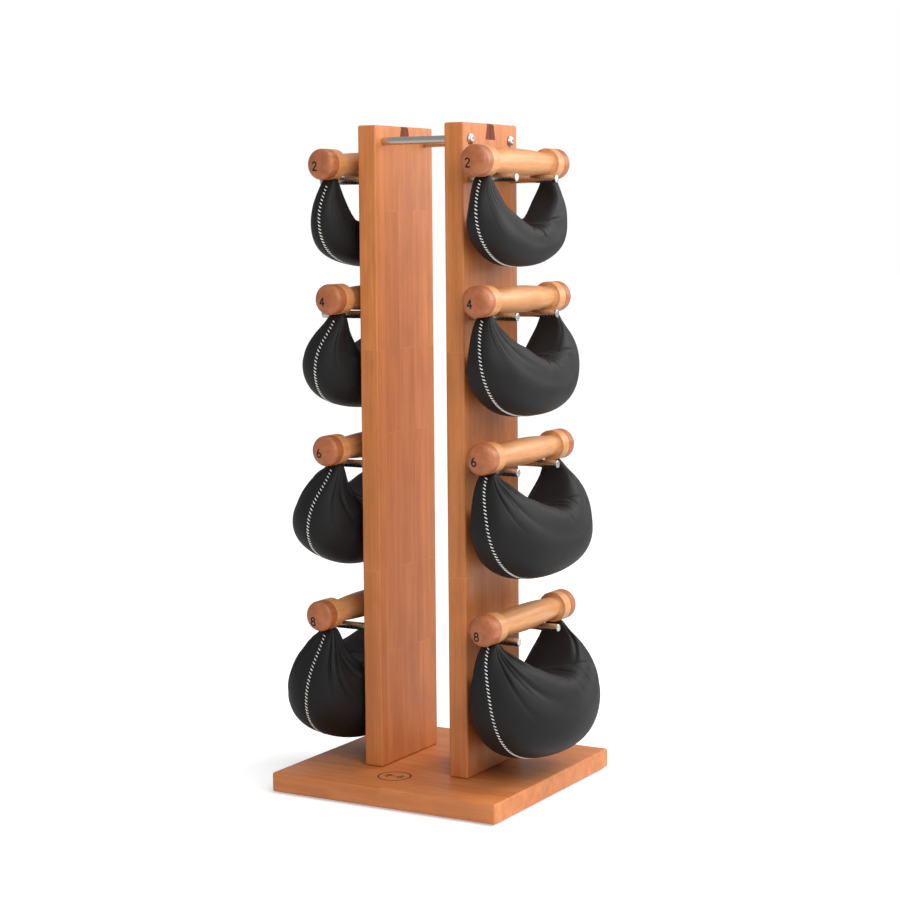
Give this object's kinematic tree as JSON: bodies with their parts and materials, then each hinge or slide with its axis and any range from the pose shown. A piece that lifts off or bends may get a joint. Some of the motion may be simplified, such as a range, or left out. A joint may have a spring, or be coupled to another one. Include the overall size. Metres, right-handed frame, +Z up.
{
  "type": "dumbbell rack",
  "caption": "Wooden tower rack whose upright boards carry hand weights on steel pins; each weight is a turned wooden handle with a crescent leather pouch of shot.",
  "frame": {"origin": "centre of the footprint, on the floor", "axes": "+Z up, +X from the left board to the right board, +Y towards the rear, so the front is -Y"},
  "size_m": [0.482, 0.378, 1.02],
  "materials": {
    "cherry_wood": "oiled cherry, satin",
    "handle_wood": "turned cherry, oiled",
    "walnut": "oiled walnut",
    "brushed_steel": "brushed stainless rod",
    "polished_steel": "polished dome head",
    "zinc_steel": "zinc plated",
    "foot_felt": "dark pad, matte",
    "pouch_leather": "soft black nappa, semi-matte, white stitching",
    "iron_shot": "dull shot"
  },
  "bodies": {
    "stand": {"base_plate": "cherry_wood", "upright_left": "cherry_wood", "upright_right": "cherry_wood", "key_left": "walnut", "key_right": "walnut", "crossbar_front": "brushed_steel", "crossbar_rear": "brushed_steel", "crossbar_bolt_left_front": "polished_steel", "crossbar_bolt_left_rear": "polished_steel", "crossbar_bolt_right_front": "polished_steel", "crossbar_bolt_right_rear": "polished_steel", "base_bolt_left_front": "zinc_steel", "base_bolt_left_rear": "zinc_steel", "base_bolt_right_front": "zinc_steel", "base_bolt_right_rear": "zinc_steel", "foot_front_left": "foot_felt", "foot_front_right": "foot_felt", "foot_rear_left": "foot_felt", "foot_rear_right": "foot_felt", "pin_left_2kg_front": "brushed_steel", "pin_left_2kg_rear": "brushed_steel", "pin_left_4kg_front": "brushed_steel", "pin_left_4kg_rear": "brushed_steel", "pin_left_6kg_front": "brushed_steel", "pin_left_6kg_rear": "brushed_steel", "pin_left_8kg_front": "brushed_steel", "pin_left_8kg_rear": "brushed_steel", "pin_right_2kg_front": "brushed_steel", "pin_right_2kg_rear": "brushed_steel", "pin_right_4kg_front": "brushed_steel", "pin_right_4kg_rear": "brushed_steel", "pin_right_6kg_front": "brushed_steel", "pin_right_6kg_rear": "brushed_steel", "pin_right_8kg_front": "brushed_steel", "pin_right_8kg_rear": "brushed_steel"},
    "bell_right_2kg": {"handle_right_2kg": "handle_wood"},
    "bell_right_2kg_pouch": {"pouch_right_2kg": "pouch_leather", "shot_right_2kg": "iron_shot"},
    "bell_right_4kg": {"handle_right_4kg": "handle_wood"},
    "bell_right_4kg_pouch": {"pouch_right_4kg": "pouch_leather", "shot_right_4kg": "iron_shot"},
    "bell_right_6kg": {"handle_right_6kg": "handle_wood"},
    "bell_right_6kg_pouch": {"pouch_right_6kg": "pouch_leather", "shot_right_6kg": "iron_shot"},
    "bell_right_8kg": {"handle_right_8kg": "handle_wood"},
    "bell_right_8kg_pouch": {"pouch_right_8kg": "pouch_leather", "shot_right_8kg": "iron_shot"},
    "bell_left_2kg": {"handle_left_2kg": "handle_wood"},
    "bell_left_2kg_pouch": {"pouch_left_2kg": "pouch_leather", "shot_left_2kg": "iron_shot"},
    "bell_left_4kg": {"handle_left_4kg": "handle_wood"},
    "bell_left_4kg_pouch": {"pouch_left_4kg": "pouch_leather", "shot_left_4kg": "iron_shot"},
    "bell_left_6kg": {"handle_left_6kg": "handle_wood"},
    "bell_left_6kg_pouch": {"pouch_left_6kg": "pouch_leather", "shot_left_6kg": "iron_shot"},
    "bell_left_8kg": {"handle_left_8kg": "handle_wood"},
    "bell_left_8kg_pouch": {"pouch_left_8kg": "pouch_leather", "shot_left_8kg": "iron_shot"}
  },
  "joints": [
    {"name": "bell_right_2kg_pull_off", "type": "slide", "parent": "stand", "child": "bell_right_2kg", "axis": [1, 0, 0], "range_m": [0, 0.15]},
    {"name": "bell_right_2kg_pouch_swing", "type": "hinge", "parent": "bell_right_2kg", "child": "bell_right_2kg_pouch", "pos_m": [0.136, 0, 0.96127], "axis": [0, -1, 0], "range_deg": [0, 20]},
    {"name": "bell_right_4kg_pull_off", "type": "slide", "parent": "stand", "child": "bell_right_4kg", "axis": [1, 0, 0], "range_m": [0, 0.15]},
    {"name": "bell_right_4kg_pouch_swing", "type": "hinge", "parent": "bell_right_4kg", "child": "bell_right_4kg_pouch", "pos_m": [0.1365, 0.002, 0.75711], "axis": [0, -1, 0], "range_deg": [0, 20]},
    {"name": "bell_right_6kg_pull_off", "type": "slide", "parent": "stand", "child": "bell_right_6kg", "axis": [1, 0, 0], "range_m": [0, 0.15]},
    {"name": "bell_right_6kg_pouch_swing", "type": "hinge", "parent": "bell_right_6kg", "child": "bell_right_6kg_pouch", "pos_m": [0.14, 0.005, 0.52633], "axis": [0, -1, 0], "range_deg": [0, 20]},
    {"name": "bell_right_8kg_pull_off", "type": "slide", "parent": "stand", "child": "bell_right_8kg", "axis": [1, 0, 0], "range_m": [0, 0.15]},
    {"name": "bell_right_8kg_pouch_swing", "type": "hinge", "parent": "bell_right_8kg", "child": "bell_right_8kg_pouch", "pos_m": [0.1415, 0.006, 0.27161], "axis": [0, -1, 0], "range_deg": [0, 20]},
    {"name": "bell_left_2kg_pull_off", "type": "slide", "parent": "stand", "child": "bell_left_2kg", "axis": [-1, 0, 0], "range_m": [0, 0.15]},
    {"name": "bell_left_2kg_pouch_swing", "type": "hinge", "parent": "bell_left_2kg", "child": "bell_left_2kg_pouch", "pos_m": [-0.1325, 0.006, 0.96171], "axis": [0, 1, 0], "range_deg": [0, 20]},
    {"name": "bell_left_4kg_pull_off", "type": "slide", "parent": "stand", "child": "bell_left_4kg", "axis": [-1, 0, 0], "range_m": [0, 0.15]},
    {"name": "bell_left_4kg_pouch_swing", "type": "hinge", "parent": "bell_left_4kg", "child": "bell_left_4kg_pouch", "pos_m": [-0.1235, 0.008, 0.75755], "axis": [0, 1, 0], "range_deg": [0, 20]},
    {"name": "bell_left_6kg_pull_off", "type": "slide", "parent": "stand", "child": "bell_left_6kg", "axis": [-1, 0, 0], "range_m": [0, 0.15]},
    {"name": "bell_left_6kg_pouch_swing", "type": "hinge", "parent": "bell_left_6kg", "child": "bell_left_6kg_pouch", "pos_m": [-0.1315, 0.006, 0.52641], "axis": [0, 1, 0], "range_deg": [0, 20]},
    {"name": "bell_left_8kg_pull_off", "type": "slide", "parent": "stand", "child": "bell_left_8kg", "axis": [-1, 0, 0], "range_m": [0, 0.15]},
    {"name": "bell_left_8kg_pouch_swing", "type": "hinge", "parent": "bell_left_8kg", "child": "bell_left_8kg_pouch", "pos_m": [-0.1415, -0.002, 0.27131], "axis": [0, 1, 0], "range_deg": [0, 20]}
  ]
}
